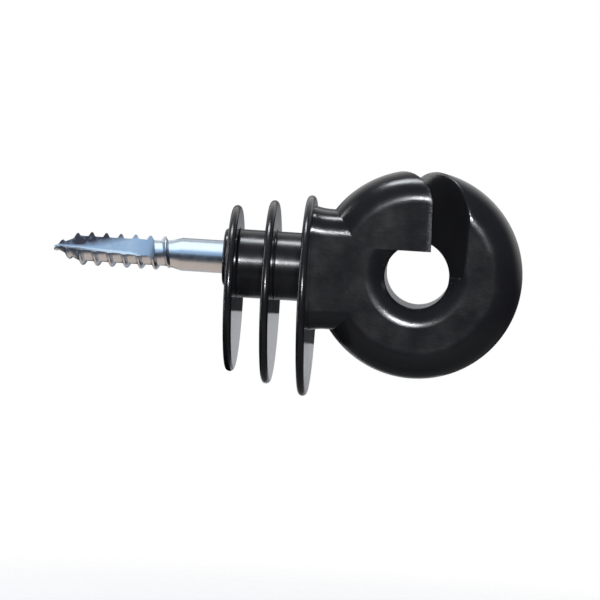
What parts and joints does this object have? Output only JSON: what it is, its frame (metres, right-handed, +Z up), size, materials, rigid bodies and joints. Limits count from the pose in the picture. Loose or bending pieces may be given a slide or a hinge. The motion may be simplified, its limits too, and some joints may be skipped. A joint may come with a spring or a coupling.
{
  "type": "ring fence insulator",
  "caption": "Black screw-in ring insulator for electric fence: ring head with a slanted wire slot on a core with off-centre drip sheds, moulded round a zinc-plated wood screw.",
  "frame": {"origin": "on the screw's axis, at the end face of the boss that stops against the post", "axes": "+X along the screw's axis from the post towards the ring, +Z up, the ring's hole along Y"},
  "size_m": [0.0901, 0.0384, 0.0445],
  "materials": {
    "black_plastic": "satin moulded black polyolefin",
    "zinc_plated_steel": "bright blue-white zinc plating"
  },
  "bodies": {
    "root": {"insulator_body": "black_plastic", "wood_screw": "zinc_plated_steel"}
  },
  "joints": []
}
